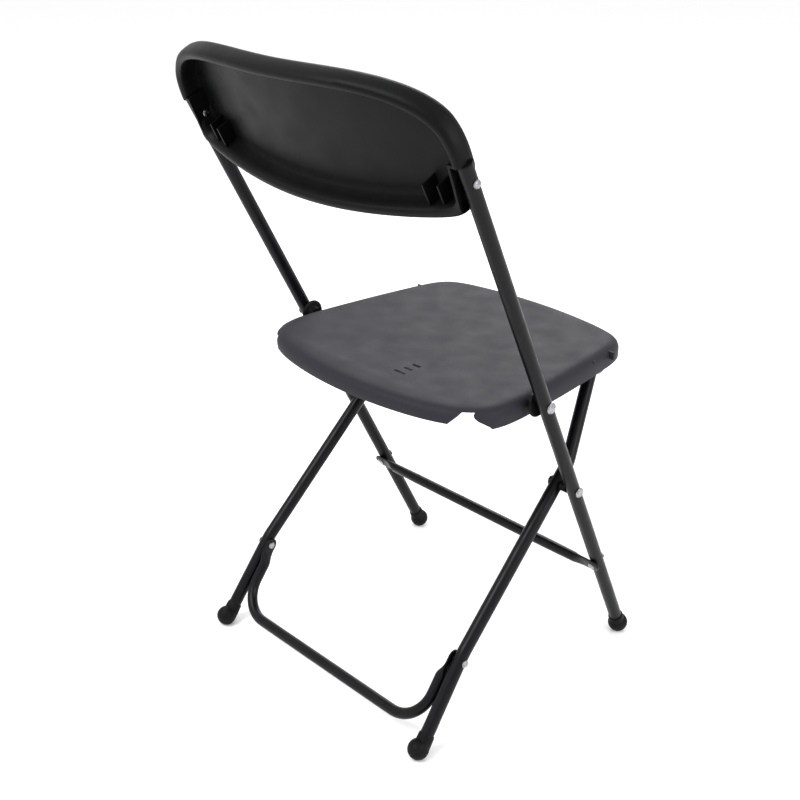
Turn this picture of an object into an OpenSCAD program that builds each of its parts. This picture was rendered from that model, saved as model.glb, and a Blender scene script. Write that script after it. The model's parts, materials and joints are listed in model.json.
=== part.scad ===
// Folding chair: a steel tube frame that folds like scissors, with a moulded
// seat and a moulded backrest. Millimetres. +Z is up and the sitter faces -Y.
// The sitter's left side is +X: left pieces are drawn, right ones mirrored.

/* [Overall] */
// Distance that the whole chair is shifted along Y, to centre its box on the origin
shift_y = -4.3; // [-20:0.1:10]
// Height of the seat's top surface
seat_height = 431.5; // [420:0.5:445]

/* [Tubes] */
// Outside diameter of the front and rear leg tubes
leg_d = 17.5; // [16:0.5:18]
// Outside diameter of the brace tubes
brace_d = 14.5; // [12:0.5:15]
// Wall thickness of all tubes
tube_wall = 1.2; // [1:0.1:1.6]
// Half distance between the front tubes at the floor
front_foot_x = 199.7; // [195:0.1:205]
// How far a front tube spreads outwards per millimetre of height
front_splay = 0.03745; // [0.03:0.0005:0.045]
// Where a front tube's axis meets the floor, along Y
front_foot_y = -202.7; // [-206:0.1:-200]
// How far a front tube leans backwards per millimetre of height
front_lean = 0.5042; // [0.49:0.001:0.52]
// Height of the front tubes' top ends
front_top_z = 738; // [730:1:745]

/* [Rear legs] */
// Half distance between the rear legs at the scissor pivot
cross_leg_x = 183.3; // [182:0.1:184]
// Height of the scissor pivot
cross_z = 281.4; // [275:0.1:285]
// How far a rear leg's straight part moves inwards per millimetre of height
rear_splay = 0.0476; // [0.04:0.001:0.055]
// How far a rear leg's straight part moves forwards per millimetre of height
rear_lean = 1.034; // [1.02:0.001:1.05]
// Height of the knee in the lower rear leg
knee_z = 111.9; // [105:0.1:118]
// Half distance between the rear feet
rear_foot_x = 195.6; // [192:0.1:198]
// Where a rear leg's axis meets the floor, along Y
rear_foot_y = 198.5; // [190:0.1:205]
// Height at which the rear legs turn inwards
shoulder_z = 301; // [296:1:306]
// How far the upper rear leg moves inwards per millimetre of height
upper_splay = 0.478; // [0.45:0.001:0.5]
// Height of the cross rod that carries the seat
rod_z = 393.5; // [390:0.1:396]

/* [Seat] */
// Height of the seat pivot
seat_pivot_z = 423; // [420:0.1:426]
// Half width of the seat halfway along it
seat_half_w = 188; // [184:0.5:190]
// Extra half width at the rear edge, and the same taken off at the front
seat_taper = 18; // [14:0.5:20]
// Y of the seat's middle
seat_mid_y = -56.5; // [-60:0.5:-54]
// Half length of the seat at its sides
seat_half_l = 157.5; // [155:0.5:160]
// How far the rear edge bulges at its middle
rear_bulge = 37.4; // [30:0.1:40]
// How far the front edge bulges at its middle
front_bulge = 21.1; // [15:0.1:25]
// Depth of the seat's side skirts
skirt_depth = 26.5; // [24:0.5:28]
// Depth of the seat's rear skirt
rear_skirt_depth = 20; // [18:0.5:22]
// Wall thickness of the seat moulding
seat_wall = 3; // [2.5:0.1:3.5]

/* [Backrest] */
// Distance from the seat pivot to the backrest's lower edge, along the front tube, at its middle
back_low = 283; // [278:1:288]
// Distance from the seat pivot to the backrest's top edge, along the front tube, at its middle
back_high = 451; // [440:1:460]
// How far the backrest's middle is set back behind its sides
back_bow = 29; // [20:1:36]
// Depth of the backrest's rim
rim_depth = 28; // [26:0.5:30]
// Wall thickness of the backrest moulding
back_wall = 3; // [2.5:0.1:3.5]
// Widest half width of the backrest
back_half_w = 232; // [229:1:235]

/* [Hardware] */
// Diameter of the pivot rivets' shanks
pivot_d = 7; // [6.5:0.5:8]
// Diameter of the cross rod
rod_d = 8; // [7:0.5:8]
// Diameter of the small rivets
rivet_d = 5; // [4:0.5:5]
// Radial clearance of a shank in a hole that turns on it
running = 0.05; // [0.03:0.01:0.08]
// Gap between pieces that only rest against each other
gap = 0.3; // [0.2:0.05:0.4]

/* [Hidden] */
$fn = 48;

leg_r = leg_d / 2;
brace_r = brace_d / 2;
pivot_r = pivot_d / 2;
rod_r = rod_d / 2;
rivet_r = rivet_d / 2;
steel = [0.05, 0.05, 0.06];
plastic = [0.09, 0.09, 0.1];
rubber = [0.03, 0.03, 0.03];
zinc = [0.7, 0.7, 0.72];

// ---- Points of the frame ----
function unit(v) = v / norm(v);
function front_at(z) = [front_foot_x + front_splay * z, front_foot_y + front_lean * z, z];
// How far above the floor, along their axes, the tubes end inside the foot caps
tube_start = 16;
front_end = front_at(0) + tube_start * unit(front_at(1) - front_at(0));
seat_pivot = front_at(seat_pivot_z);
cross_tube = front_at(cross_z);
cross_leg = [cross_leg_x, cross_tube[1], cross_z];
function rear_at(z) = [cross_leg_x - rear_splay * (z - cross_z),
                       cross_leg[1] - rear_lean * (z - cross_z), z];
knee = rear_at(knee_z);
rear_foot = [rear_foot_x, rear_foot_y, 0];
shoulder = rear_at(shoulder_z);
function upper_at(z) = [shoulder[0] - upper_splay * (z - shoulder_z),
                        shoulder[1] - rear_lean * (z - shoulder_z), z];
rod_end = upper_at(rod_z);
leg_top = rod_end + 11 * unit(rod_end - shoulder);
// Angle of the front tubes from upright, seen from the side
lean_angle = atan(front_lean);

// ---- General shapes ----
module placed() {
  translate([0, shift_y, 0])
    children();
}

// Draws its children on the left side, or mirrored on the right side
module side(left) {
  placed()
    if (left)
      children();
    else
      mirror([1, 0, 0])
        children();
}

module both() {
  side(true)
    children();
  side(false)
    children();
}

// Turns +Z into direction v and moves the origin to point a
module aim(a, v) {
  translate(a)
    rotate([0, acos(v[2] / norm(v)), atan2(v[1], v[0])])
      children();
}

module rod(a, b, r) {
  aim(a, b - a)
    cylinder(h = norm(b - a), r = r);
}

// A cylinder along X, from x = a to x = b, at height z and depth y
module xrod(a, b, y, z, r) {
  rod([a, y, z], [b, y, z], r);
}

// A round bar that follows points p, with a rounded corner at each inner point
module kinked_bar(p, r) {
  for (i = [1 : len(p) - 1])
    rod(p[i - 1], p[i], r);
  for (i = [1 : len(p) - 2])
    translate(p[i])
      sphere(r = r + 0.1);
}

// A domed rivet head of radius r and height h, standing on z = 0
module rivet_head(r, h) {
  rotate_extrude()
    polygon([[0, 0], [r, 0], [r, h * 0.35], [r * 0.86, h * 0.72], [r * 0.5, h * 0.95], [0, h]]);
}

// ---- Front frame ----
module front_tube(left) {
  color(steel)
    side(left)
      difference() {
        rod(front_end, front_at(front_top_z), leg_r);
        rod(front_at(0), front_at(front_top_z + 5), leg_r - tube_wall);
        xrod(190, 240, seat_pivot[1], seat_pivot[2], pivot_r);
        xrod(190, 240, cross_tube[1], cross_tube[2], pivot_r);
        brace_rivet_axis(rivet_r, -15, 20);
        back_rivet_axis(rivet_r);
      }
}

module tube_top_plugs() {
  color(rubber)
    both() {
      rod(front_at(front_top_z - 10), front_at(front_top_z + 1), leg_r - tube_wall);
      rod(front_at(front_top_z), front_at(front_top_z + 2), leg_r);
    }
}

// How far up the tubes' axes the foot caps end
cap_top = 33;
// Round foot: its radius, and the height of its middle, so that the floor cuts a flat
ball_r = 13.5;
ball_z = 12.6;

// A round foot at point ball, with a collar round the leg from point foot towards point up
module foot_cap(ball, foot, up) {
  difference() {
    union() {
      translate([ball[0], ball[1], ball_z])
        sphere(r = ball_r);
      aim(foot, up - foot)
        rotate_extrude()
          polygon([[0, 12], [8, 12], [10.6, 15], [10.6, 21], [10.2, cap_top - 1.5],
                   [9.6, cap_top], [0, cap_top]]);
    }
    translate([foot[0] - 40, foot[1] - 40, -40])
      cube([80, 80, 40]);
    aim(foot, up - foot)
      translate([0, 0, tube_start])
        cylinder(h = 2 * cap_top, r = leg_r);
  }
}

module foot_front(left) {
  color(rubber)
    side(left)
      foot_cap(front_at(ball_z), front_at(0), front_at(100));
}

// The front brace runs behind the front tubes, at this height
brace_z = 148;
brace_off = leg_r + 2;
back_normal = [0, cos(lean_angle), -sin(lean_angle)];
brace_seat = front_at(brace_z);
tab_x = brace_seat[0];

module brace_rivet_axis(r, from, to) {
  rod(brace_seat + back_normal * from, brace_seat + back_normal * to, r);
}

// Half of the brace: a round tube pressed flat at its end
module front_brace_half() {
  frame_tilt(brace_seat) {
    hull() {
      translate([-38, 11.2, 0])
        rotate([0, 90, 0])
          cylinder(h = 1, r = brace_r, $fn = 32);
      translate([-15, brace_off, 0])
        cube([1, 3.4, 21], center = true);
    }
    hull() {
      translate([-15, brace_off, 0])
        cube([1, 3.4, 21], center = true);
      translate([0, brace_off - 1.7, 0])
        rotate([-90, 0, 0])
          cylinder(h = 3.4, r = 10.5, $fn = 32);
    }
  }
}

// Axes turned so that Y is square to the front tubes and points backwards
module frame_tilt(origin) {
  translate(origin)
    rotate([-lean_angle, 0, 0])
      children();
}

module front_brace() {
  color(steel)
    placed()
      difference() {
        union() {
          frame_tilt([0, brace_seat[1], brace_seat[2]])
            translate([-tab_x + 37, 11.2, 0])
              rotate([0, 90, 0])
                cylinder(h = 2 * tab_x - 74, r = brace_r);
          front_brace_half();
          mirror([1, 0, 0])
            front_brace_half();
        }
        brace_rivet_axis(rivet_r, -15, 20);
        mirror([1, 0, 0])
          brace_rivet_axis(rivet_r, -15, 20);
      }
}

module front_brace_rivets() {
  color(zinc)
    both() {
      brace_rivet_axis(rivet_r, -leg_r - 0.2, brace_off + 1.75);
      aim(brace_seat + back_normal * (brace_off + 1.7), back_normal)
        rivet_head(5, 2.2);
      aim(brace_seat - back_normal * (leg_r + 0.05), -back_normal)
        rivet_head(5, 2.2);
    }
}

// Riveted joint of the backrest and the tubes
back_rivet_z = front_top_z - 19.5;
module back_rivet_axis(r) {
  xrod(205, 250, front_at(back_rivet_z)[1], back_rivet_z, r);
}

module back_rivets() {
  p = front_at(back_rivet_z);
  inner = p[0] - leg_r - gap - back_wall - 0.15;
  outer = p[0] + leg_r + 0.15;
  color(zinc)
    both() {
      xrod(inner - 0.2, outer + 0.2, p[1], p[2], rivet_r);
      aim([outer, p[1], p[2]], [1, 0, 0])
        rivet_head(5, 2.2);
      aim([inner, p[1], p[2]], [-1, 0, 0])
        rivet_head(4.2, 2);
    }
}

// ---- Backrest ----
// Its own axes: X across, Y square to the front tubes and backwards, Z along them
module back_axes() {
  frame_tilt([0, seat_pivot[1], seat_pivot[2]])
    children();
}

back_side_p = 13;
bow_half_w = 215;
bow_power = 1.2;
function bow(x) =
  back_side_p + back_bow * pow(max(0, 1 - pow(x / bow_half_w, 2)), bow_power);
// The backrest stands this many degrees more upright than the tubes
back_upright = 4.57;

// Outline of the backrest, seen square on: a rounded top above the widest line, and
// below it a rounded box that narrows downwards and whose lower edge sags
bow_steps = 18;
outline_steps = 72;
wide_t = 345;
top_power = 2.9;
low_power = 11;
low_sag = 8;
low_narrow = 12;
// Distance from the middle of a superellipse of half sizes 1 to its edge, in direction a
function edge_at(a, power) =
  pow(pow(abs(cos(a)), power) + pow(abs(sin(a)), power), -1 / power);
function back_top_point(a, inset) =
  [(back_half_w - inset) * cos(a) * edge_at(a, top_power),
   wide_t + (back_high - wide_t - inset) * sin(a) * edge_at(a, top_power)];
function back_low_point(a, inset) =
  let (u = cos(a) * edge_at(a, low_power), s = -sin(a) * edge_at(a, low_power),
       half_h = wide_t - back_low - low_sag - inset)
  [(back_half_w - low_narrow * s - inset) * u,
   wide_t - half_h * s - low_sag * (1 - u * u) * s];
function back_outline(inset) =
  [for (i = [0 : outline_steps - 1])
     let (a = 360 * i / outline_steps)
       a <= 180 ? back_top_point(a, inset) : back_low_point(a, inset)];

module back_prism(inset) {
  translate([0, 120, 0])
    rotate([90, 0, 0])
      linear_extrude(height = 240)
        polygon(back_outline(inset));
}

// The bowed slab between two surfaces that follow the bow
module bow_slab(front, rear) {
  xs = concat([-250], [for (i = [-bow_steps : bow_steps]) bow_half_w * i / bow_steps], [250]);
  last = len(xs) - 1;
  translate([0, 0, wide_t])
    rotate([back_upright, 0, 0])
      translate([0, 0, -100])
        linear_extrude(height = 230)
          polygon(concat([for (x = xs) [x, bow(x) + front]],
                         [for (i = [0 : last]) [xs[last - i], bow(xs[last - i]) + rear]]));
}

// Distance along the front tube from the seat pivot to a height z
function tube_t(z) = (z - seat_pivot_z) / cos(lean_angle);
tube_top_t = tube_t(front_top_z + 2) + gap;
splay_angle = atan(front_splay * cos(lean_angle));
niche_r = leg_r + gap;

module back_shell() {
  color(plastic)
    placed()
      difference() {
        back_axes()
          difference() {
            intersection() {
              bow_slab(-rim_depth, 0);
              back_prism(0);
            }
            back_hollow();
            tube_niche();
            mirror([1, 0, 0])
              tube_niche();
          }
        back_rivet_axis(rivet_r + 0.1);
        mirror([1, 0, 0])
          back_rivet_axis(rivet_r + 0.1);
      }
}

// Hollow behind the front plate, narrower where it passes between the tubes
module back_hollow() {
  difference() {
    intersection() {
      bow_slab(-rim_depth + back_wall, 5);
      back_prism(2 * back_wall);
    }
    for (m = [0, 1])
      mirror([m, 0, 0])
        along_tube()
          translate([-niche_r - back_wall, -60, 200])
            cube([60, 200, tube_top_t + back_wall - 200]);
  }
}

// Axes whose Z runs up the left front tube, in the backrest's own axes
module along_tube() {
  translate([seat_pivot[0], 0, 0])
    rotate([0, splay_angle, 0])
      children();
}

// The space that a front tube takes out of the backrest's side, open to the rear and outwards
module tube_niche() {
  along_tube() {
    cylinder(h = tube_top_t, r = niche_r);
    translate([-niche_r, 0, 0])
      cube([60, 80, tube_top_t]);
    translate([0, -niche_r, 0])
      cube([60, 80, tube_top_t]);
  }
}

// ---- Pivots ----
module cross_rivet(left) {
  color(zinc)
    side(left) {
      xrod(cross_leg_x - leg_r - 0.35, cross_tube[0] + leg_r + 0.35, cross_leg[1], cross_z, pivot_r);
      aim([cross_tube[0] + leg_r + 0.3, cross_leg[1], cross_z], [1, 0, 0])
        rivet_head(6.5, 2.6);
      aim([cross_leg_x - leg_r - 0.3, cross_leg[1], cross_z], [-1, 0, 0])
        rivet_head(6.5, 2.6);
    }
}

module cross_spacer(left) {
  color(rubber)
    side(left)
      difference() {
        xrod(cross_leg_x + leg_r + 0.35, cross_tube[0] - leg_r - 0.35, cross_leg[1], cross_z, 7);
        xrod(150, 250, cross_leg[1], cross_z, pivot_r);
      }
}

module seat_pivot_rivet(left) {
  y = seat_pivot[1];
  color(zinc)
    side(left) {
      xrod(bracket_in - gap - 0.1, seat_pivot[0] + leg_r + 0.35, y, seat_pivot_z, pivot_r);
      aim([seat_pivot[0] + leg_r + 0.3, y, seat_pivot_z], [1, 0, 0])
        rivet_head(7, 2.6);
      aim([bracket_in - gap, y, seat_pivot_z], [-1, 0, 0])
        rivet_head(5.5, 2.4);
    }
}

// ---- Rear frame ----
module rear_leg(left) {
  path = [rear_foot + tube_start * unit(knee - rear_foot), knee, shoulder, leg_top];
  color(steel)
    side(left)
      difference() {
        kinked_bar(path, leg_r);
        kinked_bar([rear_foot - 4 * unit(knee - rear_foot), knee, shoulder,
                    leg_top + 4 * unit(leg_top - shoulder)], leg_r - tube_wall);
        xrod(150, 215, cross_leg[1], cross_z, pivot_r + running);
        xrod(100, 170, rod_end[1], rod_z, rod_r);
        u_brace_rivet_axis(rivet_r);
      }
}

module rear_leg_plugs() {
  v = unit(leg_top - shoulder);
  color(rubber)
    both()
      difference() {
        union() {
          rod(leg_top - 5 * v, leg_top + v, leg_r - tube_wall);
          rod(leg_top, leg_top + 1.8 * v, leg_r);
        }
        xrod(100, 170, rod_end[1], rod_z, rod_r + 0.2);
      }
}

// The round foot of a rear leg stands a little behind the leg's axis
rear_ball = [rear_foot_x - 0.6, rear_foot_y - 4.2];
module foot_rear(left) {
  color(rubber)
    side(left)
      foot_cap(rear_ball, rear_foot, knee);
}

// Axes in the plane of the lower rear legs: X across, Y up along the legs
rear_angle = atan2(knee_z, rear_foot_y - knee[1]);
module rear_plane() {
  translate([0, rear_foot_y, 0])
    rotate([180 - rear_angle, 0, 0])
      mirror([0, 0, 1])
        children();
}

// Distances along the legs of the U brace's bar, and of its riveted ends
u_bar_s = 33.5;
u_tab_s = 130;
u_arm_x = 176.3;
// Where an arm begins to be pressed flat, and how far inside its flat end it is there
u_flat_s = 104;
u_arm_in = 5;
u_bend_r = 45;
// Centre of a flat end, against the inside of the leg
u_tab_x = rear_foot_x - (rear_foot_x - knee[0]) * u_tab_s / norm(knee - rear_foot) - leg_r - 2;

module u_brace_rivet_axis(r) {
  rear_plane()
    translate([u_tab_x - 12, u_tab_s, 0])
      rotate([0, 90, 0])
        cylinder(h = 50, r = r);
}

// One bend and arm of the U brace, with its flat end
u_bend_x = u_arm_x - u_bend_r;
module u_brace_disc(x, s) {
  translate([x, s, 0])
    rotate([90, 0, 0])
      cylinder(h = 1, r = brace_r, $fn = 32);
}

module u_brace_arm() {
  bend_end = u_bar_s + u_bend_r;
  translate([u_bend_x, bend_end, 0])
    rotate([0, 0, -90])
      rotate_extrude(angle = 90)
        translate([u_bend_r, 0])
          circle(r = brace_r);
  translate([u_arm_x, bend_end, 0])
    rotate([-90, 0, 0])
      cylinder(h = 3, r = brace_r);
  hull() {
    u_brace_disc(u_arm_x, bend_end + 3.5);
    u_brace_disc(u_tab_x - u_arm_in, u_flat_s);
  }
  hull() {
    u_brace_disc(u_tab_x - u_arm_in, u_flat_s);
    translate([u_tab_x, u_tab_s - 12, 0])
      cube([3.4, 1, 20], center = true);
  }
  hull() {
    translate([u_tab_x, u_tab_s - 12, 0])
      cube([3.4, 1, 20], center = true);
    translate([u_tab_x - 1.7, u_tab_s, 0])
      rotate([0, 90, 0])
        cylinder(h = 3.4, r = 10, $fn = 32);
  }
}

module rear_u_brace() {
  color(steel)
    placed()
      difference() {
        rear_plane() {
          translate([-u_bend_x, u_bar_s, 0])
            rotate([0, 90, 0])
              cylinder(h = 2 * u_bend_x, r = brace_r);
          u_brace_arm();
          mirror([1, 0, 0])
            u_brace_arm();
        }
        u_brace_rivet_axis(rivet_r);
        mirror([1, 0, 0])
          u_brace_rivet_axis(rivet_r);
      }
}

module u_brace_rivets() {
  outer = u_tab_x + 2 + 2 * leg_r;
  color(zinc)
    both()
      rear_plane() {
        translate([u_tab_x - 1.8, u_tab_s, 0])
          rotate([0, 90, 0])
            cylinder(h = outer - u_tab_x + 2.1, r = rivet_r);
        translate([u_tab_x - 1.7, u_tab_s, 0])
          rotate([0, -90, 0])
            rivet_head(5, 2.2);
        translate([outer + 0.15, u_tab_s, 0])
          rotate([0, 90, 0])
            rivet_head(5, 2.2);
      }
}

clip_x = rod_end[0] + 12.6;
roller_x = rod_end[0] - 24;
module rear_cross_rod() {
  color(zinc)
    placed()
      xrod(-clip_x - 4, clip_x + 4, rod_end[1], rod_z, rod_r);
}

module rod_rollers() {
  color(rubber)
    both()
      difference() {
        xrod(roller_x - 6, roller_x + 6, rod_end[1], rod_z, 7);
        xrod(roller_x - 8, roller_x + 8, rod_end[1], rod_z, rod_r);
      }
}

module rod_end_clips() {
  color(zinc)
    both()
      difference() {
        xrod(clip_x, clip_x + 1.6, rod_end[1], rod_z, 7);
        xrod(clip_x - 2, clip_x + 3, rod_end[1], rod_z, rod_r);
      }
}

// ---- Seat ----
// Plan of the seat: a rounded shape, wider and more bulged at the rear
seat_steps = 72;
rear_power = 7.2;
front_power = 11.8;
function seat_point(a, inset) =
  let (edge = edge_at(a, sin(a) > 0 ? rear_power : front_power),
       u = cos(a) * edge, v = sin(a) * edge,
       w = seat_half_w - 6 + seat_taper * v + 6 * (1 - v * v),
       bulge = v > 0 ? rear_bulge : -front_bulge)
  [(w - inset) * u, seat_mid_y + (seat_half_l - inset) * v + bulge * (1 - u * u) * abs(v)];
function seat_outline(inset) =
  [for (i = [0 : seat_steps - 1]) seat_point(360 * i / seat_steps, inset)];

// A slice of the seat's outline from height low to height high
module seat_slice(inset, low, high) {
  translate([0, 0, low])
    linear_extrude(height = high - low)
      polygon(seat_outline(inset));
}

skirt_z = seat_height - skirt_depth;
rear_skirt_z = seat_height - rear_skirt_depth;

// Opening in the rear skirt through which a rear leg passes as the chair folds
module leg_notch() {
  translate([0, 150, 0])
    rotate([90, 0, 0])
      linear_extrude(height = 110)
        polygon([[150, skirt_z - 1], [152, 414], [160, 422], [166, seat_height - seat_wall - 1],
                 [178, seat_height - seat_wall - 1], [184, 422], [190, 412], [191, skirt_z - 1]]);
}

// Three drain slots through the seat, each running across it: place along Y, and length
slots_x = -38.5;
slot_w = 4;
module drain_slots() {
  for (slot = [[75.5, 20], [61, 14], [46.5, 14]])
    translate([slots_x - slot[1] / 2, slot[0] - slot_w / 2, seat_height - 10])
      cube([slot[1], slot_w, 20]);
}

module seat_shell() {
  color(plastic)
    placed()
      difference() {
        union() {
          difference() {
            union() {
              seat_slice(0, skirt_z, seat_height - 6);
              seat_slice(1.5, seat_height - 6.01, seat_height - 2.5);
              seat_slice(5, seat_height - 2.51, seat_height);
            }
            seat_slice(seat_wall, skirt_z - 1, seat_height - seat_wall);
            // Rear skirt is shallower
            translate([-140, 90, skirt_z - 1])
              cube([280, 60, rear_skirt_z - skirt_z + 1]);
            leg_notch();
            mirror([1, 0, 0])
              leg_notch();
          }
          seat_ribs();
          both_at_origin()
            seat_bosses();
        }
        drain_slots();
        both_at_origin() {
          xrod(180, 210, seat_pivot[1], seat_pivot_z, pivot_r + 1.05);
          rail_screw_holes(12);
          bracket_screw_holes(12);
        }
      }
}

// Bosses under the seat that the rail and bracket screws bite into
module seat_bosses() {
  web = seat_height - seat_wall + 0.5;
  for (y = rail_feet)
    translate([roller_x, y, rail_top])
      cylinder(h = web - rail_top, r = 5.5);
  for (dy = bracket_screws)
    translate([bracket_screw_x, seat_pivot[1] + dy, bracket_low + 2.5])
      cylinder(h = web - bracket_low - 2.5, r = 5.5);
}

module rail_screw_holes(depth) {
  for (y = rail_feet)
    translate([roller_x, y, rail_top - 5])
      cylinder(h = depth + 5, r = rivet_r);
}

module bracket_screw_holes(depth) {
  for (dy = bracket_screws)
    translate([bracket_screw_x, seat_pivot[1] + dy, bracket_low - 5])
      cylinder(h = depth + 7.5, r = rivet_r);
}

module both_at_origin() {
  children();
  mirror([1, 0, 0])
    children();
}

// Stiffening ribs under the seat
rib_depth = 12;
module seat_ribs() {
  z = seat_height - seat_wall - rib_depth;
  for (y = [-170, -130, -70, -10, 50])
    translate([-150, y, z])
      cube([300, 2.5, rib_depth + 0.5]);
  for (x = [-70, 67.5])
    translate([x, -225, z])
      cube([2.5, 320, rib_depth + 0.5]);
}

// Rail under which the roller runs, with a stop at its front end
rail_top = seat_height - seat_wall - rib_depth;
roller_top = rod_z + 7 + gap;
rail_front = rod_end[1] - 7 - gap - 3;
rail_rear = seat_pivot[1] + 14;
module seat_rail(left) {
  color(steel)
    side(left)
      difference() {
        union() {
          translate([roller_x - 9, rail_front, roller_top])
            cube([18, rail_rear - rail_front, 2]);
          translate([roller_x - 9, rail_front, rod_z - 3])
            cube([18, 3, roller_top - rod_z + 4]);
          for (x = [roller_x - 9, roller_x + 7])
            translate([x, rail_front, roller_top + 1])
              cube([2, rail_rear - rail_front, rail_top - roller_top - 1]);
          for (y = rail_feet)
            translate([roller_x - 9, y - 7, rail_top - 2])
              cube([18, 14, 2]);
        }
        rail_screw_holes(12);
      }
}

// The rail feet sit under the cross ribs
rail_feet = [-168.75, -128.75, -68.75, -8.75];
module seat_rail_screws() {
  color(zinc)
    both()
      for (y = rail_feet)
        translate([roller_x, y, rail_top - 2]) {
          cylinder(h = 12, r = rivet_r);
          mirror([0, 0, 1])
            rivet_head(4.4, 1.6);
        }
}

// Angle bracket that carries the seat on its pivot, flat against the side skirt
bracket_in = 185;
bracket_low = 406.5;
bracket_screw_x = 174;
bracket_screws = [-16, 16];
module seat_bracket(left) {
  top = seat_height - seat_wall - 0.1;
  y = seat_pivot[1];
  color(steel)
    side(left)
      difference() {
        union() {
          translate([bracket_in, y - 24, bracket_low])
            cube([3, 48, top - bracket_low]);
          translate([bracket_screw_x - 8, y - 24, bracket_low])
            cube([bracket_in + 3 - bracket_screw_x + 8, 48, 2.5]);
        }
        xrod(170, 200, y, seat_pivot_z, pivot_r + running);
        bracket_screw_holes(12);
      }
}

module seat_bracket_screws() {
  color(zinc)
    both()
      for (dy = bracket_screws)
        translate([bracket_screw_x, seat_pivot[1] + dy, bracket_low]) {
          cylinder(h = 12, r = rivet_r);
          mirror([0, 0, 1])
            rivet_head(4.4, 1.6);
        }
}

module seat_spacer(left) {
  tube_in = seat_pivot[0] - leg_r - gap - 0.3;
  y = seat_pivot[1];
  color(rubber)
    side(left)
      difference() {
        union() {
          aim([tube_in, y, seat_pivot_z], [-1, 0, 0])
            rotate_extrude()
              polygon([[0, 0], [16, 0], [17, 1], [17, 2], [15, 3.4], [9.5, 4.2], [9, 5],
                       [9, tube_in - 195], [0, tube_in - 195]]);
          xrod(bracket_in + 3.1, 195.2, y, seat_pivot_z, pivot_r + 1);
        }
        xrod(170, 230, y, seat_pivot_z, pivot_r + running);
      }
}

front_tube(true);  // front_tube_left
front_tube(false);  // front_tube_right
tube_top_plugs();
front_brace();
front_brace_rivets();
foot_front(true);  // foot_front_left
foot_front(false);  // foot_front_right
back_shell();
back_rivets();
cross_rivet(true);  // cross_rivet_left
cross_rivet(false);  // cross_rivet_right
cross_spacer(true);  // cross_spacer_left
cross_spacer(false);  // cross_spacer_right
seat_pivot_rivet(true);  // seat_pivot_rivet_left
seat_pivot_rivet(false);  // seat_pivot_rivet_right
rear_leg(true);  // rear_leg_left
rear_leg(false);  // rear_leg_right
foot_rear(true);  // foot_rear_left
foot_rear(false);  // foot_rear_right
rear_u_brace();
u_brace_rivets();
rear_cross_rod();
rod_rollers();
rod_end_clips();
rear_leg_plugs();
seat_shell();
seat_rail(true);  // seat_rail_left
seat_rail(false);  // seat_rail_right
seat_rail_screws();
seat_bracket(true);  // seat_bracket_left
seat_bracket(false);  // seat_bracket_right
seat_bracket_screws();
seat_spacer(true);  // seat_spacer_left
seat_spacer(false);  // seat_spacer_right
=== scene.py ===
"""Looks of the folding chair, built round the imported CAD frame.

Lengths are in metres. X is across the chair, +Y is behind it and +Z is up.
Left pieces are on +X. Each visual piece rides on the CAD body it belongs to.
"""

import json
import math

import bmesh
import bpy
import numpy as np
from mathutils import Matrix, Vector


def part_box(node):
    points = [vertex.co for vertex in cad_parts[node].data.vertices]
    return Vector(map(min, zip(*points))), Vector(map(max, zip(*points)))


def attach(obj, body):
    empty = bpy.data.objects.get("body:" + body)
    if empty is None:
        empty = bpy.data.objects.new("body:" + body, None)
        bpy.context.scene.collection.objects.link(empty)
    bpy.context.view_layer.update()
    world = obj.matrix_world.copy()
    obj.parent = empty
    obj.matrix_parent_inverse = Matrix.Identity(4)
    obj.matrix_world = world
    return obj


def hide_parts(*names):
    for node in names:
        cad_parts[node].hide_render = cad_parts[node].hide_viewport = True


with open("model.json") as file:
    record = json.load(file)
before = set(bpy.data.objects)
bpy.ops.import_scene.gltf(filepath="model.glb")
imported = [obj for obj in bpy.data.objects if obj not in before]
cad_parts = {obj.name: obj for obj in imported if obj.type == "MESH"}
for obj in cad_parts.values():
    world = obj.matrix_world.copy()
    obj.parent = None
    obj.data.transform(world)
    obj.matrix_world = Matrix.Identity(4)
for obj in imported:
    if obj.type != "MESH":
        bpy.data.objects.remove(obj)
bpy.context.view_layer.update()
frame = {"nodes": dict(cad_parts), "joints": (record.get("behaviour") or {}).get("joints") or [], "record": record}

MM = 0.001
nodes = frame["nodes"]
joints = {j["name"]: j for j in frame["joints"]}

# ---- Dimensions, read from the frame where it states them ----
SEAT_PIVOT = Vector(joints["seat_fold"]["pos_m"])
CROSS_PIVOT = Vector(joints["rear_frame_fold"]["pos_m"])
SEAT_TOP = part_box("seat_shell")[1].z
SEAT_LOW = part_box("seat_shell")[0].z
LEG_R = 8.75 * MM
BRACE_R = 7.25 * MM
TUBE_START = 16 * MM
GAP = 0.3 * MM
# A front tube moves back by LEAN and outwards by SPLAY for each metre of height
LEAN = 0.5042
SPLAY = 0.03745
LEAN_ANGLE = math.atan(LEAN)
TUBE_PIVOT_X = 215.54 * MM
TUBE_TOP_Z = 0.738


# ---- Mesh helpers ----
def add_object(name, mesh):
    piece = bpy.data.objects.new(name, mesh)
    bpy.context.scene.collection.objects.link(piece)
    return piece


def mesh_object(name, verts, faces):
    mesh = bpy.data.meshes.new(name)
    mesh.from_pydata([tuple(v) for v in verts], [], faces)
    mesh.validate()
    mesh.shade_smooth()
    return add_object(name, mesh)


def skin(name, rings, close_ends=True):
    """A mesh through rings of equal length; each ring is an (n, 3) array of points."""
    count = len(rings[0])
    verts = np.concatenate(rings)
    faces = []
    for k in range(len(rings) - 1):
        for i in range(count):
            j = (i + 1) % count
            faces.append((k * count + i, k * count + j, (k + 1) * count + j, (k + 1) * count + i))
    if close_ends:
        faces.append(tuple(reversed(range(count))))
        faces.append(tuple(range((len(rings) - 1) * count, len(rings) * count)))
    piece = mesh_object(name, verts, faces)
    fix_normals(piece)
    return piece


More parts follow.
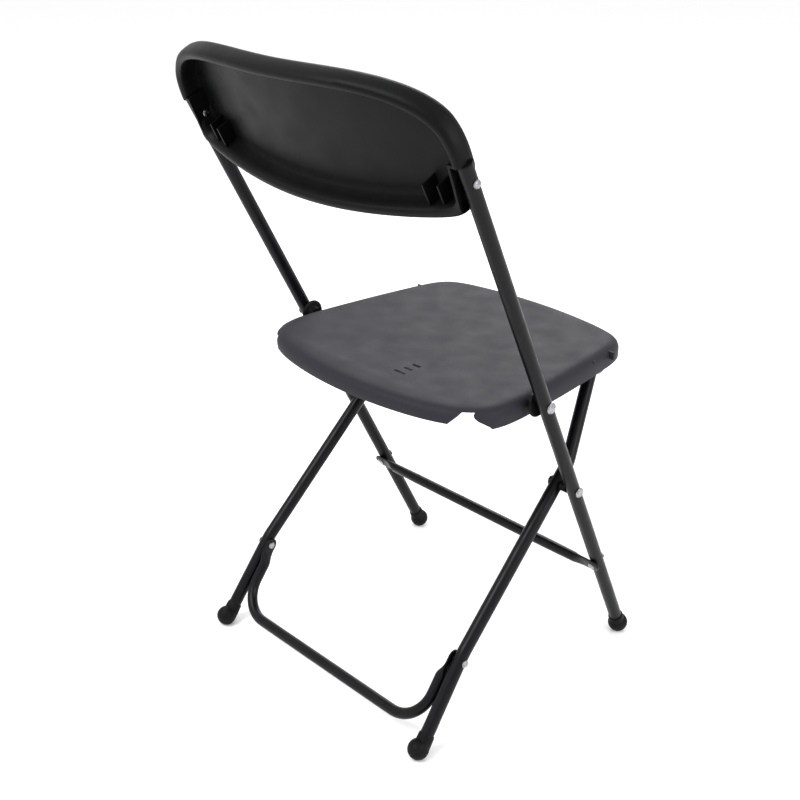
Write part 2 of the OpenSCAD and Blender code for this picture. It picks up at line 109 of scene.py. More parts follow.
def fix_normals(piece):
    bm = bmesh.new()
    bm.from_mesh(piece.data)
    bmesh.ops.recalc_face_normals(bm, faces=bm.faces)
    bm.to_mesh(piece.data)
    bm.free()


def apply_modifiers(piece):
    graph = bpy.context.evaluated_depsgraph_get()
    mesh = bpy.data.meshes.new_from_object(piece.evaluated_get(graph))
    piece.modifiers.clear()
    piece.data = mesh


def boolean(piece, tool, operation="DIFFERENCE"):
    """Cuts piece with tool, or keeps only what they share, and removes the tool."""
    modifier = piece.modifiers.new("cut", "BOOLEAN")
    modifier.operation = operation
    modifier.solver = "EXACT"
    modifier.object = tool
    apply_modifiers(piece)
    bpy.data.objects.remove(tool)


def join(name, parts):
    """One object from several, kept as separate shells."""
    bm = bmesh.new()
    for part in parts:
        bm.from_mesh(part.data)
        bpy.data.objects.remove(part)
    mesh = bpy.data.meshes.new(name)
    bm.to_mesh(mesh)
    bm.free()
    return add_object(name, mesh)


def smooth_by_angle(piece, degrees=35):
    """Shades smooth, with sharp edges where faces meet at more than the angle."""
    piece.data.shade_smooth()
    piece.data.set_sharp_from_angle(angle=math.radians(degrees))


def mirrored(piece, name):
    """A copy of piece on the other side of the chair."""
    mesh = piece.data.copy()
    mesh.transform(Matrix.Scale(-1, 4, (1, 0, 0)))
    mesh.flip_normals()
    mesh.name = name
    return add_object(name, mesh)


def prism(name, outline, axis_map, low, high):
    """A solid with a 2D outline, extruded from low to high; axis_map places (a, b, depth)."""
    front = [axis_map(a, b, low) for a, b in outline]
    back = [axis_map(a, b, high) for a, b in outline]
    return skin(name, [np.array(front), np.array(back)])


def block(name, low, high, place=lambda p: p):
    """A box from low to high, whose corners are then moved by place."""
    outline = [(low[0], low[1]), (high[0], low[1]), (high[0], high[1]), (low[0], high[1])]
    return prism(name, outline, lambda a, b, c: place(np.array((a, b, c))), low[2], high[2])


def spow(value, exponent):
    return np.sign(value) * np.abs(value) ** exponent


def superellipse(theta, exponent):
    """Points of |u|^n + |v|^n = 1 in directions theta."""
    u, v = np.cos(theta), np.sin(theta)
    rho = (np.abs(u) ** exponent + np.abs(v) ** exponent) ** (-1 / exponent)
    return u * rho, v * rho


# ---- Sweeps ----
def fillet_path(points, radius, steps=14):
    """The polyline through points with each corner rounded to a radius."""
    points = [Vector(p) for p in points]
    path = [points[0]]
    for a, b, c in zip(points, points[1:], points[2:]):
        u, v = (b - a).normalized(), (c - b).normalized()
        turn = u.angle(v)
        start = b - u * radius * math.tan(turn / 2)
        inward = (v - u * u.dot(v)).normalized()
        for k in range(steps + 1):
            t = turn * k / steps
            path.append(start + u * radius * math.sin(t) + inward * radius * (1 - math.cos(t)))
    path.append(points[-1])
    return path


def sweep(name, path, section, wide_hint, sides=48):
    """A bar along path. section(i, s) gives the half sizes (wide, thin) and squareness at
    point i, distance s; wide_hint(i) is the direction of the wide side."""
    rings = []
    angles = np.linspace(0, 2 * math.pi, sides, endpoint=False)
    distance = 0
    for i, point in enumerate(path):
        if i:
            distance += (point - path[i - 1]).length
        ahead = path[min(i + 1, len(path) - 1)] - path[max(i - 1, 0)]
        wide = wide_hint(i) - ahead.normalized() * wide_hint(i).dot(ahead.normalized())
        wide.normalize()
        thin = ahead.normalized().cross(wide)
        half_wide, half_thin, squareness = section(i, distance)
        u = spow(np.cos(angles), squareness)
        v = spow(np.sin(angles), squareness)
        rings.append(np.array(point) + np.outer(u * half_wide, wide) + np.outer(v * half_thin, thin))
    return skin(name, rings)


def smoothstep(low, high, value):
    t = np.clip((value - low) / (high - low), 0, 1)
    return t * t * (3 - 2 * t)


# ---- Materials ----
def new_material(name, colour, roughness, metallic=0.0, specular=0.1):
    """A Principled material with plain values."""
    material = bpy.data.materials.new(name)
    material.use_nodes = True
    shader = material.node_tree.nodes["Principled BSDF"]
    shader.inputs["Base Color"].default_value = (*colour, 1)
    shader.inputs["Roughness"].default_value = roughness
    shader.inputs["Metallic"].default_value = metallic
    shader.inputs["Specular IOR Level"].default_value = specular
    material.diffuse_color = (*colour, 1)
    return material


class Graph:
    """Short calls for building one material's nodes."""

    def __init__(self, material):
        self.tree = material.node_tree
        self.shader = self.tree.nodes["Principled BSDF"]
        self.place = self.tree.nodes.new("ShaderNodeTexCoord").outputs["Object"]

    def noise(self, scale, detail=3.0, stretch=(1, 1, 1)):
        place = self.place
        if stretch != (1, 1, 1):
            mapping = self.tree.nodes.new("ShaderNodeMapping")
            mapping.inputs["Scale"].default_value = stretch
            self.tree.links.new(place, mapping.inputs["Vector"])
            place = mapping.outputs["Vector"]
        node = self.tree.nodes.new("ShaderNodeTexNoise")
        node.inputs["Scale"].default_value = scale
        node.inputs["Detail"].default_value = detail
        self.tree.links.new(place, node.inputs["Vector"])
        return node.outputs["Fac"]

    def voronoi(self, scale):
        node = self.tree.nodes.new("ShaderNodeTexVoronoi")
        node.feature = "SMOOTH_F1"
        node.inputs["Scale"].default_value = scale
        self.tree.links.new(self.place, node.inputs["Vector"])
        return node.outputs["Distance"]

    def remap(self, value, low, high, to_low, to_high):
        node = self.tree.nodes.new("ShaderNodeMapRange")
        limits = {"From Min": low, "From Max": high, "To Min": to_low, "To Max": to_high}
        for key, number in limits.items():
            node.inputs[key].default_value = number
        self.tree.links.new(value, node.inputs["Value"])
        return node.outputs["Result"]

    def mix(self, factor, colour_a, colour_b):
        """Colour a, colour b or a socket of either, mixed by factor."""
        node = self.tree.nodes.new("ShaderNodeMix")
        node.data_type = "RGBA"
        for key, colour in ((6, colour_a), (7, colour_b)):
            if isinstance(colour, tuple):
                node.inputs[key].default_value = (*colour, 1)
            else:
                self.tree.links.new(colour, node.inputs[key])
        self.tree.links.new(factor, node.inputs[0])
        return node.outputs[2]

    def bump(self, height, distance, strength=1.0, after=None):
        node = self.tree.nodes.new("ShaderNodeBump")
        node.inputs["Distance"].default_value = distance
        node.inputs["Strength"].default_value = strength
        self.tree.links.new(height, node.inputs["Height"])
        if after is not None:
            self.tree.links.new(after, node.inputs["Normal"])
        return node.outputs["Normal"]

    def set(self, key, socket):
        self.tree.links.new(socket, self.shader.inputs[key])


def scuffs(graph, scale, stretch, low=0.60, high=0.72):
    """Sparse streaks, from 0 to 1."""
    return graph.remap(graph.noise(scale, 6.0, stretch), low, high, 0, 1)


def black_paint():
    """Powder-coated steel: satin, slightly bumpy, with rubbed patches."""
    material = new_material("black_paint", (0.0045, 0.0046, 0.0055), 0.34, specular=0.16)
    g = Graph(material)
    rubbed = scuffs(g, 38, (1, 1, 0.35))
    g.set("Base Color", g.mix(rubbed, (0.0020, 0.0021, 0.0030), (0.005, 0.005, 0.007)))
    g.set("Roughness", g.remap(g.noise(60, 5.0), 0.3, 0.7, 0.27, 0.43))
    peel = g.bump(g.noise(900, 2.0), 0.00006, 0.5)
    g.set("Normal", g.bump(g.noise(140, 3.0), 0.00012, 0.35, peel))
    return material


def moulded_plastic(name, colour, worn, roughness, grain, grain_depth):
    """Moulded plastic: fine grain, faint cloudy patches and rubbing."""
    material = new_material(name, colour, sum(roughness) / 2)
    g = Graph(material)
    cloudy = g.remap(g.noise(60, 4.0), 0.35, 0.68, 0, 1)
    base = g.mix(cloudy, colour, tuple(c * 1.06 for c in colour))
    rubbed = scuffs(g, 150, (1, 0.4, 1), 0.60, 0.80)
    g.set("Base Color", g.mix(rubbed, base, worn))
    g.set("Roughness", g.remap(g.noise(30, 6.0), 0.3, 0.7, *roughness))
    fine = g.bump(g.voronoi(grain), grain_depth, 0.6)
    g.set("Normal", g.bump(g.noise(grain * 0.33, 3.0), grain_depth * 1.5, 0.4, fine))
    return material


def foot_rubber():
    """Moulded rubber with dusty patches."""
    material = new_material("foot_rubber", (0.004, 0.004, 0.0045), 0.6)
    g = Graph(material)
    dust = scuffs(g, 70, (1, 1, 1), 0.5, 0.75)
    g.set("Base Color", g.mix(dust, (0.0035, 0.0035, 0.004), (0.010, 0.0095, 0.009)))
    g.set("Roughness", g.remap(g.noise(90, 5.0), 0.3, 0.7, 0.48, 0.72))
    g.set("Normal", g.bump(g.noise(500, 3.0), 0.0001, 0.5))
    return material


def zinc_steel():
    """Zinc-plated rivets and rod: bright, with turning marks and dull spots."""
    material = new_material("zinc_steel", (0.32, 0.32, 0.34), 0.3, metallic=1.0)
    g = Graph(material)
    dull = scuffs(g, 260, (1, 1, 1), 0.45, 0.7)
    g.set("Base Color", g.mix(dull, (0.34, 0.34, 0.36), (0.16, 0.16, 0.16)))
    g.set("Roughness", g.remap(g.noise(420, 4.0), 0.3, 0.7, 0.2, 0.42))
    g.set("Normal", g.bump(g.noise(700, 2.0, (1, 1, 6)), 0.00004, 0.5))
    return material


SEAT_BLACK = (0.020, 0.020, 0.0255)
BACK_BLACK = (0.0022, 0.0023, 0.0026)
materials = {
    "black_paint": black_paint(),
    "seat_plastic": moulded_plastic(
        "seat_plastic", SEAT_BLACK, (0.023, 0.023, 0.029), (0.50, 0.60), 1500, 0.00012),
    "back_plastic": moulded_plastic(
        "back_plastic", BACK_BLACK, (0.004, 0.004, 0.0045), (0.40, 0.5), 1600, 0.0001),
    "foot_rubber": foot_rubber(),
    "black_nylon": moulded_plastic(
        "black_nylon", (0.004, 0.004, 0.0045), (0.009, 0.009, 0.009), (0.35, 0.5), 2200, 0.00006),
    "zinc_steel": zinc_steel(),
}
slot_of = {s["node"]: s["material_slot"] for s in frame["record"]["subparts"]}
for cad_name, cad_object in nodes.items():
    for material_slot in cad_object.material_slots:
        material_slot.material = materials[slot_of[cad_name]]


def dress(piece, body, slot, *replaced):
    """Gives a new piece its material, its body and the CAD nodes it stands for."""
    piece.data.materials.clear()
    piece.data.materials.append(materials[slot])
    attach(piece, body)
    if replaced:
        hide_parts(*replaced)
    return piece


# ---- Seat ----
# Middle of the seat to the corners of its rear and front edges
SEAT_HALF_L = 157.5 * MM
# How far the middle of each edge bulges past its corners
REAR_BULGE = 37.4 * MM
FRONT_BULGE = 21.1 * MM
# Half width at mid length without the belly, the widening to the rear, and the belly of the sides
SEAT_HALF_W = 182 * MM
SEAT_FLARE = 18 * MM
SEAT_BELLY = 6 * MM
# Squareness of the corners
REAR_POWER = 7.2
FRONT_POWER = 11.8
SEAT_MID_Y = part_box("seat_shell")[1].y - SEAT_HALF_L - REAR_BULGE
SEAT_POINTS = 180
SEAT_WALL = 3 * MM
DISH = 3.2 * MM
DISH_HALF_W = 190 * MM
# How far the skirt's lower edge rises from the sides to the rear corners, and on to the rear
CORNER_RISE = 3.5 * MM
REAR_RISE = 3 * MM


def seat_outline(inset):
    """Plan of the seat, drawn in by inset, as (n, 2) points."""
    theta = np.linspace(0, 2 * math.pi, SEAT_POINTS, endpoint=False)
    rear = np.sin(theta) > 0
    u, v = np.where(rear, superellipse(theta, REAR_POWER), superellipse(theta, FRONT_POWER))
    half_w = SEAT_HALF_W + SEAT_FLARE * v + SEAT_BELLY * (1 - v * v)
    bulge = np.where(rear, REAR_BULGE, -FRONT_BULGE) * (1 - u * u) * np.abs(v)
    return np.stack([(half_w - inset) * u, SEAT_MID_Y + (SEAT_HALF_L - inset) * v + bulge], 1)


def skirt_bottom(points):
    """Height of the skirt's lower edge: lower at the sides than at the rear."""
    x, y = np.abs(points[:, 0]), points[:, 1] - SEAT_MID_Y
    corner = smoothstep(125 * MM, 160 * MM, y)
    rear = smoothstep(190 * MM, 150 * MM, x) * smoothstep(140 * MM, 165 * MM, y)
    return SEAT_LOW + CORNER_RISE * corner + REAR_RISE * rear


def seat_dish(points):
    """How far the top sinks below its rim."""
    x, y = points[:, 0] / DISH_HALF_W, (points[:, 1] - SEAT_MID_Y) / SEAT_HALF_L
    return DISH * (1 - np.clip(x * x, 0, 1)) * (1 - np.clip(y * y, 0, 1)) ** 0.5


def seat_ring(inset, z):
    """The outline drawn in by inset, at height z or at z(points)."""
    points = seat_outline(inset)
    height = z(points) if callable(z) else np.full(len(points), z)
    return np.column_stack([points, height])


def seat_fan(edge, z_of):
    """Rings from near the middle out to the edge ring."""
    centre = np.array([0, SEAT_MID_Y])
    rings = []
    for f in np.linspace(0.02, 0.98, 26):
        points = centre + (edge[:, :2] - centre) * f
        rings.append(np.column_stack([points, z_of(points)]))
    return rings


def build_seat():
    """The seat moulding, as rings over its top, round its skirt and back under it.

    Each pair is a ring's inset from the outline and its drop from the top, or its rise from
    the skirt's lower edge, in mm.
    """
    top = [(14, 0.25), (9.5, 0.75), (6, 1.9), (3.2, 4.0), (1.3, 7.0), (0.3, 10.5), (0, 14)]
    lip = [(0.1, 1.4), (0.7, 0.35), (1.6, 0.0), (2.5, 0.35), (3.0, 1.6)]
    under = [(3.4, 12), (4.4, 7.5), (7.5, 4.6), (13, 3.3)]
    edge = seat_ring(18 * MM, SEAT_TOP)
    rings = seat_fan(edge, lambda p: SEAT_TOP - seat_dish(p))
    for inset, drop in top:
        rings.append(seat_ring(inset * MM, SEAT_TOP - drop * MM))
    for inset, rise in lip:
        rings.append(seat_ring(inset * MM, lambda p, r=rise: skirt_bottom(p) + r * MM))
    for inset, drop in under:
        rings.append(seat_ring(inset * MM, SEAT_TOP - drop * MM))
    rings += reversed(seat_fan(edge, lambda p: SEAT_TOP - SEAT_WALL - seat_dish(p)))
    seat = skin("seat_moulding", rings)
    cut_seat(seat)
    smooth_by_angle(seat, 40)
    return dress(seat, "seat", "seat_plastic", "seat_shell")


def notch_outline():
    """Opening in the rear skirt: wide at the bottom, narrow under the top, with round shoulders."""
    low, high = SEAT_LOW - 2 * MM, SEAT_TOP - SEAT_WALL - 1 * MM
    half_low, half_high = 20 * MM, 6.5 * MM
    middle = 171 * MM
    left, right = [], []
    for t in np.linspace(0, 1, 14):
        half = half_low + (half_high - half_low) * smoothstep(0.1, 1.0, t)
        z = low + (high - low) * t
        left.append((middle - half, z))
        right.append((middle + half, z))
    return left + right[::-1]


# Each slot's middle in Y and its length, in mm
DRAIN_SLOTS = ((75.5, 20), (61, 14), (46.5, 14))
SLOTS_X = -38.5 * MM
SLOT_HALF_W = 2.2 * MM
# The whole chair is moved by this in Y to centre its box; places in Y below are given before it
SEAT_REAR_Y = 138.4 * MM
SHIFT_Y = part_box("seat_shell")[1].y - SEAT_REAR_Y


def stadium(half_length, half_width, steps=10):
    """Outline of a slot with round ends."""
    points = []
    for k in range(2 * steps + 2):
        a = -math.pi / 2 + math.pi * (k if k <= steps else k - 1) / steps
        side = 1 if k <= steps else -1
        points.append((side * (half_length - half_width) + half_width * math.cos(a),
                       half_width * math.sin(a)))
    return points


def cut_seat(seat):
    """Cuts the two notches of the rear skirt and the drain slots."""
    for side in (1, -1):
        outline = [(side * x, z) for x, z in notch_outline()]
        boolean(seat, prism("notch", outline, lambda a, b, c: np.array((a, c, b)),
                            SEAT_MID_Y + 130 * MM, SEAT_MID_Y + 220 * MM))
    for y, length in DRAIN_SLOTS:
        outline = stadium(length / 2 * MM, SLOT_HALF_W)
        centre = np.array((SLOTS_X, y * MM + SHIFT_Y, 0))
        boolean(seat, prism("slot", outline, lambda a, b, c: centre + np.array((a, b, c)),
                            SEAT_TOP - 12 * MM, SEAT_TOP + 5 * MM))


# Ribs under the seat: their thickness, and where their low sides start in Y and X, in mm
RIB_T = 2.5
CROSS_RIBS_Y = (-170, -130, -70, -10, 50)
LONG_RIBS_X = (-70, 67.5)
CROSS_RIB_HALF_L = 178 * MM
LONG_RIB_FROM_Y = -222 * MM
LONG_RIB_TO_Y = 120 * MM
# Bosses for the screws of the pivot brackets
BRACKET_BOSS_X = 174 * MM
BRACKET_BOSS_OFF = 16 * MM
BOSS_R = 5.5 * MM


def build_seat_ribs():
    """Stiffening ribs and screw bosses under the seat."""
    low, high = SEAT_TOP - 15 * MM, SEAT_TOP - 5 * MM
    parts = []
    for y in CROSS_RIBS_Y:
        start, end = y * MM + SHIFT_Y, (y + RIB_T) * MM + SHIFT_Y
        parts.append(block("rib", (-CROSS_RIB_HALF_L, start, low), (CROSS_RIB_HALF_L, end, high)))
    for x in LONG_RIBS_X:
        parts.append(block("rib", (x * MM, LONG_RIB_FROM_Y + SHIFT_Y, low),
                           ((x + RIB_T) * MM, LONG_RIB_TO_Y + SHIFT_Y, high)))
    for side in (1, -1):
        # The bosses for the rails' screws stand on the first four cross ribs
        for y in CROSS_RIBS_Y[:4]:
            parts.append(boss((side * roller_x(), (y + RIB_T / 2) * MM + SHIFT_Y), low, high))
        for off in (-BRACKET_BOSS_OFF, BRACKET_BOSS_OFF):
            place = (side * BRACKET_BOSS_X, SEAT_PIVOT.y + off)
            parts.append(boss(place, SEAT_LOW + 4.2 * MM, high))
    ribs = join("seat_ribs", parts)
    smooth_by_angle(ribs)
    return dress(ribs, "seat", "seat_plastic")


def roller_x():
    """Middle of the left rail, where the rod's roller runs."""
    low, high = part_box("seat_rail_left")
    return (low.x + high.x) / 2


def boss(centre, low, high):
    angles = np.linspace(0, 2 * math.pi, 24, endpoint=False)
    circle = [(centre[0] + BOSS_R * math.cos(a), centre[1] + BOSS_R * math.sin(a)) for a in angles]
    return prism("boss", circle, lambda a, b, c: np.array((a, b, c)), low, high)


# ---- Backrest ----
BACK_POINTS = 200
BACK_WALL = 3 * MM
BACK_HALF_W = 232 * MM
# How far the backrest moves forwards for each metre up, against the tubes
UPRIGHT = 0.08
# Where the backrest is widest, in t, and how far its outline reaches above and below
WIDE_T = 345 * MM
BACK_UP = 106 * MM
BACK_DOWN = 54 * MM
# The lower edge: how much narrower it is on each side, and how far its middle sags
LOW_NARROW = 12 * MM
LOW_SAG = 8 * MM
# Squareness of the upper and lower halves
TOP_POWER = 2.9
LOW_POWER = 11
# Bow of the rear surface: its place at the sides, its depth at the middle, its half width, its shape
BOW_SIDE = 13 * MM
BOW_DEPTH = 29 * MM
BOW_HALF_W = 215 * MM
BOW_POWER = 1.2
# Middle of the rings that fill the backrest's faces
FAN_T = 362 * MM
TUBE_TOP_T = (TUBE_TOP_Z + 2 * MM - SEAT_PIVOT.z) / math.cos(LEAN_ANGLE) + GAP
SPLAY_ANGLE = math.atan(SPLAY * math.cos(LEAN_ANGLE))
# Inner side of the wall beside a tube, from the tube's axis
WALL_IN = -LEG_R - GAP - BACK_WALL
# The tools that cut the backrest start here in t, below its lower edge
CUT_FROM_T = 200 * MM


def tilted(x, p, t):
    """Row-frame point from the backrest's own axes: p squarely back from the tubes, t up along them."""
    s, c = math.sin(LEAN_ANGLE), math.cos(LEAN_ANGLE)
    return np.stack([x, SEAT_PIVOT.y + t * s + p * c, SEAT_PIVOT.z + t * c - p * s], -1)


def on_back(x, depth, t):
    """Row-frame points of the backrest, at a depth behind its bowed rear surface."""
    return tilted(x, bow(x) + depth - UPRIGHT * (t - WIDE_T), t)


def bow(x):
    """How far behind the tubes' axes the rear surface lies at x."""
    return BOW_SIDE + BOW_DEPTH * np.maximum(0, 1 - (x / BOW_HALF_W) ** 2) ** BOW_POWER


def back_outline(inset):
    """Outline seen square on, drawn in by inset, as x and t."""
    theta = np.linspace(0, 2 * math.pi, BACK_POINTS, endpoint=False)
    upper = np.sin(theta) >= 0
    u, v = np.where(upper, superellipse(theta, TOP_POWER), superellipse(theta, LOW_POWER))
    s = np.abs(v)
    x = np.where(upper, (BACK_HALF_W - inset) * u, (BACK_HALF_W - LOW_NARROW * s - inset) * u)
    sag = LOW_SAG * (1 - u * u) * s
    t = np.where(upper, WIDE_T + (BACK_UP - inset) * s, WIDE_T - (BACK_DOWN - inset) * s - sag)
    return x, t


def back_ring(inset, depth):
    """The outline drawn in by inset, at a depth, both in mm."""
    x, t = back_outline(inset * MM)
    return on_back(x, depth * MM, t)


def back_fan(inset, depth):
    """Rings that fill one face, from near its middle out to the inset outline; both in mm."""
    x, t = back_outline(inset * MM)
    rings = []
    for f in np.linspace(0.02, 0.98, 30):
        rings.append(on_back(x * f, depth * MM, FAN_T + (t - FAN_T) * f))
    return rings


def back_profile(rear):
    """Rings round the edge: the rounded front, then the rear's (inset, depth) pairs in mm."""
    front = [(14, -28), (8.5, -27.4), (4.6, -25.8), (1.8, -22.8), (0.4, -18.5), (0, -12)]
    return [back_ring(inset, depth) for inset, depth in front + rear]


# The rolled rim and the wall inside it, as (inset, depth) pairs in mm
RIM = [(0.2, -7), (1.0, -3.4), (2.8, -0.9), (5.4, 0), (8.4, -0.3), (10.8, -1.8), (12.0, -4.4),
       (12.6, -11), (13.2, -20), (14.8, -24), (18, -25)]


def niche(name):
    """The room that a front tube takes out of the backrest, open to the rear and outwards."""
    r = LEG_R + GAP
    arc = [(-r * math.cos(a), -r * math.sin(a)) for a in np.linspace(0, math.pi / 2, 12)]
    outline = [(-r, 90 * MM)] + arc + [(60 * MM, -r), (60 * MM, 90 * MM)]
    return prism(name, outline, lambda a, b, t: beside_tube((a, b, t)), CUT_FROM_T, TUBE_TOP_T)


def beside_tube(point):
    """Row-frame place of a point given as x from the left tube's axis, p and t."""
    x = TUBE_PIVOT_X + point[0] + point[2] * math.tan(SPLAY_ANGLE)
    return tilted(np.array(x), np.array(point[1]), np.array(point[2]))


def back_side_block(name):
    """The thick part of the backrest beside and above the top of a front tube."""
    high = (60 * MM, 60 * MM, TUBE_TOP_T + BACK_WALL)
    return block(name, (WALL_IN, -60 * MM, CUT_FROM_T), high, beside_tube)


def build_back():
    """The backrest: a bowed shell with a rolled rim, thick beside the tops of the tubes."""
    shell = skin("back_moulding", back_fan(19, -28) + back_profile(RIM) + back_fan(21, -25)[::-1])
    left_niche = niche("niche_left")
    right_niche = mirrored(left_niche, "niche_right")
    boolean(shell, left_niche)
    boolean(shell, right_niche)
    closed = [(0.4, -6.8), (1.2, -3.4), (3.0, -1.2), (5.6, -0.3)]
    pocket = skin("back_pocket", back_fan(19, -27.7) + back_profile(closed) + back_fan(9, -0.3)[::-1])
    boolean(pocket, back_side_block("side"), "INTERSECT")
    boolean(pocket, niche("niche"))
    back = join("back_moulding", [shell, mirrored(pocket, "pocket_right"), pocket] + back_ribs())
    smooth_by_angle(back, 32)
    return dress(back, "front_frame", "back_plastic", "back_shell")


# Upright ribs in the backrest's lower corners: their inner sides in X, thickness and reach in t
BACK_RIBS_X = (172 * MM, 190 * MM)
BACK_RIB_T = 2.2 * MM
BACK_RIB_LOW = 297 * MM
BACK_RIB_HIGH = 328 * MM


def back_ribs():
    """Upright ribs inside the lower corners, next to the tubes."""
    parts = []
    for side in (1, -1):
        for x in BACK_RIBS_X:
            depth = float(bow(x))
            low = (x, depth - 26 * MM, BACK_RIB_LOW)
            high = (x + BACK_RIB_T, depth - 4 * MM, BACK_RIB_HIGH)
            parts.append(block("rib", low, high, lambda q, k=side: tilted(k * q[0], q[1], q[2])))
    return parts


# ---- Tubes ----
# Thickness of a scissor rivet's head, and how far a rear leg runs on past the cross rod
RIVET_HEAD = 2.6 * MM
LEG_PAST_ROD = 11 * MM
# Where the left rear leg's axis meets the floor
REAR_FOOT_X = 195.6 * MM
REAR_FOOT_Y = 198.5 * MM
# Half thickness of a tube pressed flat
TAB_HALF_T = 1.7 * MM


def frame_points():
    """Points of the left rear leg's axis: at the floor, the knee, the upper bend and the top."""
    cross_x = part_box("cross_rivet_left")[0].x + RIVET_HEAD + GAP + LEG_R
    y0, z0 = CROSS_PIVOT.y, CROSS_PIVOT.z
    lean, inward, upper = 1.034, 0.0476, 0.478
    knee_z, shoulder_z, rod_z = 111.9 * MM, 301 * MM, 393.5 * MM

    def at(z):
        return Vector((cross_x - inward * (z - z0), y0 - lean * (z - z0), z))

    shoulder = at(shoulder_z)
    rod_end = shoulder + Vector((-upper, -lean, 1)) * (rod_z - shoulder_z)
    top = rod_end + (rod_end - shoulder).normalized() * LEG_PAST_ROD
    foot = Vector((REAR_FOOT_X, REAR_FOOT_Y + SHIFT_Y, 0))
    return foot, at(knee_z), shoulder, top


def build_rear_legs():
    foot, knee, shoulder, top = frame_points()
    start = foot + (knee - foot).normalized() * TUBE_START
    path = fillet_path([start, knee, shoulder, top], 70 * MM)
    leg = sweep("rear_leg_tube_left", path, lambda i, s: (LEG_R, LEG_R, 1),
                lambda i: Vector((0.0, 0.7, 0.7)), 56)
    smooth_by_angle(leg)
    other = mirrored(leg, "rear_leg_tube_right")
    smooth_by_angle(other)
    dress(leg, "rear_frame", "black_paint", "rear_leg_left")
    dress(other, "rear_frame", "black_paint", "rear_leg_right")


def flat_section(to_end, round_r, tab_half_w, tab_half_t, taper_start, taper_end, tab_r):
    """Half sizes of a tube that is pressed flat towards its end, with a round tip."""
    flat = float(smoothstep(taper_start, taper_end, to_end))
    wide = round_r + (tab_half_w - round_r) * flat
    thin = round_r + (tab_half_t - round_r) * flat
    tip = max(0.0, 1 - to_end / tab_r)
    wide *= math.sqrt(max(0.0, 1 - tip * tip)) if tip > 0 else 1
    return max(wide, 0.4 * MM), thin, 1 - 0.35 * flat


def spaced(length, fine=26, taper=40 * MM):
    """Distances along a bar, close together near both ends."""
    near = taper * (1 - np.cos(np.linspace(0, math.pi / 2, fine)))
    middle = np.linspace(taper, length - taper, 8)[1:-1]
    return np.concatenate([near, middle, (length - near)[::-1]])


BRACE_Z = 148 * MM
# How far behind the front tubes' axes the brace runs, away from its flat ends
BRACE_BEHIND = 11.2 * MM


def build_front_brace():
    """The brace across the front tubes, whose flat ends lie against their rear sides."""
    tab_half_w = 10.5 * MM
    tab_behind = LEG_R + 2 * MM
    tube_x = TUBE_PIVOT_X + SPLAY * (BRACE_Z - SEAT_PIVOT.z)
    tube_y = SEAT_PIVOT.y + LEAN * (BRACE_Z - SEAT_PIVOT.z)
    length = 2 * tube_x + 2 * tab_half_w
    normal = Vector((0, math.cos(LEAN_ANGLE), -math.sin(LEAN_ANGLE)))
    along = Vector((0, math.sin(LEAN_ANGLE), math.cos(LEAN_ANGLE)))
    steps = spaced(length)
    path = []
    for s in steps:
        to_end = min(s, length - s)
        flat = float(smoothstep(44 * MM, 22 * MM, to_end))
        behind = BRACE_BEHIND + (tab_behind - BRACE_BEHIND) * flat
        path.append(Vector((s - length / 2, tube_y, BRACE_Z)) + normal * behind)

    def section(i, s):
        return flat_section(min(steps[i], length - steps[i]), BRACE_R, tab_half_w, TAB_HALF_T,
                            46 * MM, 24 * MM, tab_half_w)

    brace = sweep("front_brace_tube", path, section, lambda i: along)
    smooth_by_angle(brace, 50)
    dress(brace, "front_frame", "black_paint", "front_brace")


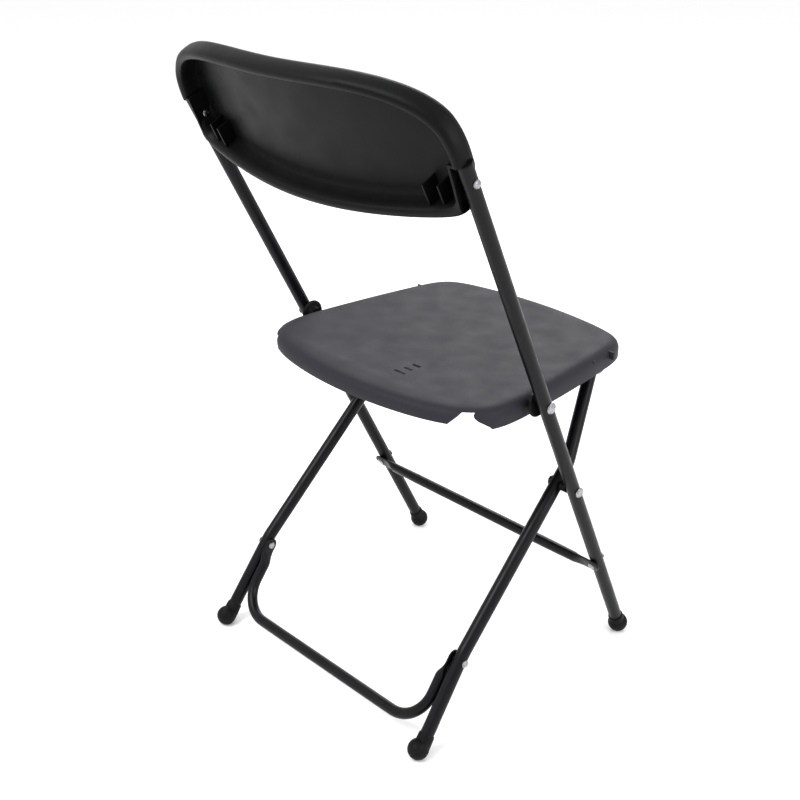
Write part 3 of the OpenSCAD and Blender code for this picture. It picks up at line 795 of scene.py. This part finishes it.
def build_u_brace():
    """The U-shaped brace of the rear legs: a bar near the floor, and arms up to flat tabs."""
    foot, knee, _, _ = frame_points()
    leg = knee - foot
    up = Vector((0, leg.y, leg.z)).normalized()
    across = Vector((1, 0, 0))
    origin = Vector((0, foot.y, 0))
    tab_s = 130 * MM
    tab_x = foot.x - (foot.x - knee.x) * tab_s / leg.length - LEG_R - 2 * MM
    tab_half_w = 10 * MM
    arm_x, bar_s, bend_r = 176.3 * MM, 33.5 * MM, 45 * MM
    # The right half's corners: middle of the bar, lower bend, top of the bend, tab's foot and tab
    half = [origin + across * x + up * s for x, s in (
        (0, bar_s), (arm_x, bar_s), (arm_x, bar_s + bend_r), (tab_x - 5 * MM, 104 * MM),
        (tab_x, 118 * MM))]
    arc = fillet_path(half[:3], bend_r, 18)
    arm = fillet_path([half[2] - up * 1 * MM, half[2] + (half[3] - half[2]) * 0.2, half[3], half[4],
                       half[4] + up * 22 * MM], 22 * MM, 8)[1:]
    tips = [half[4] + up * (t * MM) for t in (8, 12, 15, 17, 18.5, 20, 21, 21.6, 22)]
    right = arc[:-1] + [p for p in arm[:-1] if (p - half[4]).dot(up) < 7 * MM] + tips
    left = [Vector((-p.x, p.y, p.z)) for p in reversed(right[1:])]
    path = left + right
    normal = up.cross(across)
    end = right[-1]

    def section(i, s):
        to_end = abs((end - path[i]).dot(up))
        if abs(path[i].x) < arm_x - 2 * MM:
            return BRACE_R, BRACE_R, 1
        return flat_section(to_end, BRACE_R, tab_half_w, TAB_HALF_T, 38 * MM, 22 * MM, tab_half_w)

    brace = sweep("rear_u_brace_tube", path, section, lambda i: normal)
    smooth_by_angle(brace, 50)
    dress(brace, "rear_frame", "black_paint", "rear_u_brace")


# ---- Stage ----
def build_stage():
    """A white floor and an even white world."""
    mesh = bpy.data.meshes.new("floor")
    size = 12
    corners = [(-size, -size, 0), (size, -size, 0), (size, size, 0), (-size, size, 0)]
    mesh.from_pydata(corners, [], [(0, 1, 2, 3)])
    floor = add_object("floor", mesh)
    material = new_material("floor_white", (0.97, 0.97, 0.97), 0.8)
    mesh.materials.append(material)
    world = bpy.data.worlds.new("world")
    world.use_nodes = True
    world.node_tree.nodes["Background"].inputs["Color"].default_value = (1, 1, 1, 1)
    world.node_tree.nodes["Background"].inputs["Strength"].default_value = 1.0
    bpy.context.scene.world = world


def add_light(name, place, target, size, power):
    light = bpy.data.lights.new(name, "AREA")
    light.shape = "DISK"
    light.size = size
    light.energy = power
    lamp = add_object(name, light)
    lamp.location = place
    lamp.rotation_euler = (Vector(target) - Vector(place)).to_track_quat("-Z", "Y").to_euler()


def build_camera():
    """The camera: behind the chair and to its right, above it, looking down at it."""
    camera = bpy.data.cameras.new("camera")
    camera.sensor_width = 36
    camera.lens = 55.9
    camera.clip_start = 0.01
    lens = add_object("camera", camera)
    lens.location = (-1.0423, 1.0357 + SHIFT_Y, 1.0423)
    yaw, pitch = 0.8075, 0.4379
    look = Vector((math.cos(pitch) * math.sin(yaw), -math.cos(pitch) * math.cos(yaw), -math.sin(pitch)))
    lens.rotation_euler = look.to_track_quat("-Z", "Y").to_euler()
    bpy.context.scene.camera = lens


def set_look():
    scene = bpy.context.scene
    scene.view_settings.view_transform = "Standard"
    scene.view_settings.look = "None"


build_camera()
build_stage()
set_look()
middle = (0, 0, 0.4)
add_light("key", (0.4, 1.9, 2.6), middle, 1.6, 60)
add_light("side", (-2.4, -0.6, 1.5), middle, 1.4, 30)
add_light("front", (1.5, -2.2, 2.0), middle, 1.6, 35)
build_seat()
build_seat_ribs()
build_back()
build_rear_legs()
build_front_brace()
build_u_brace()
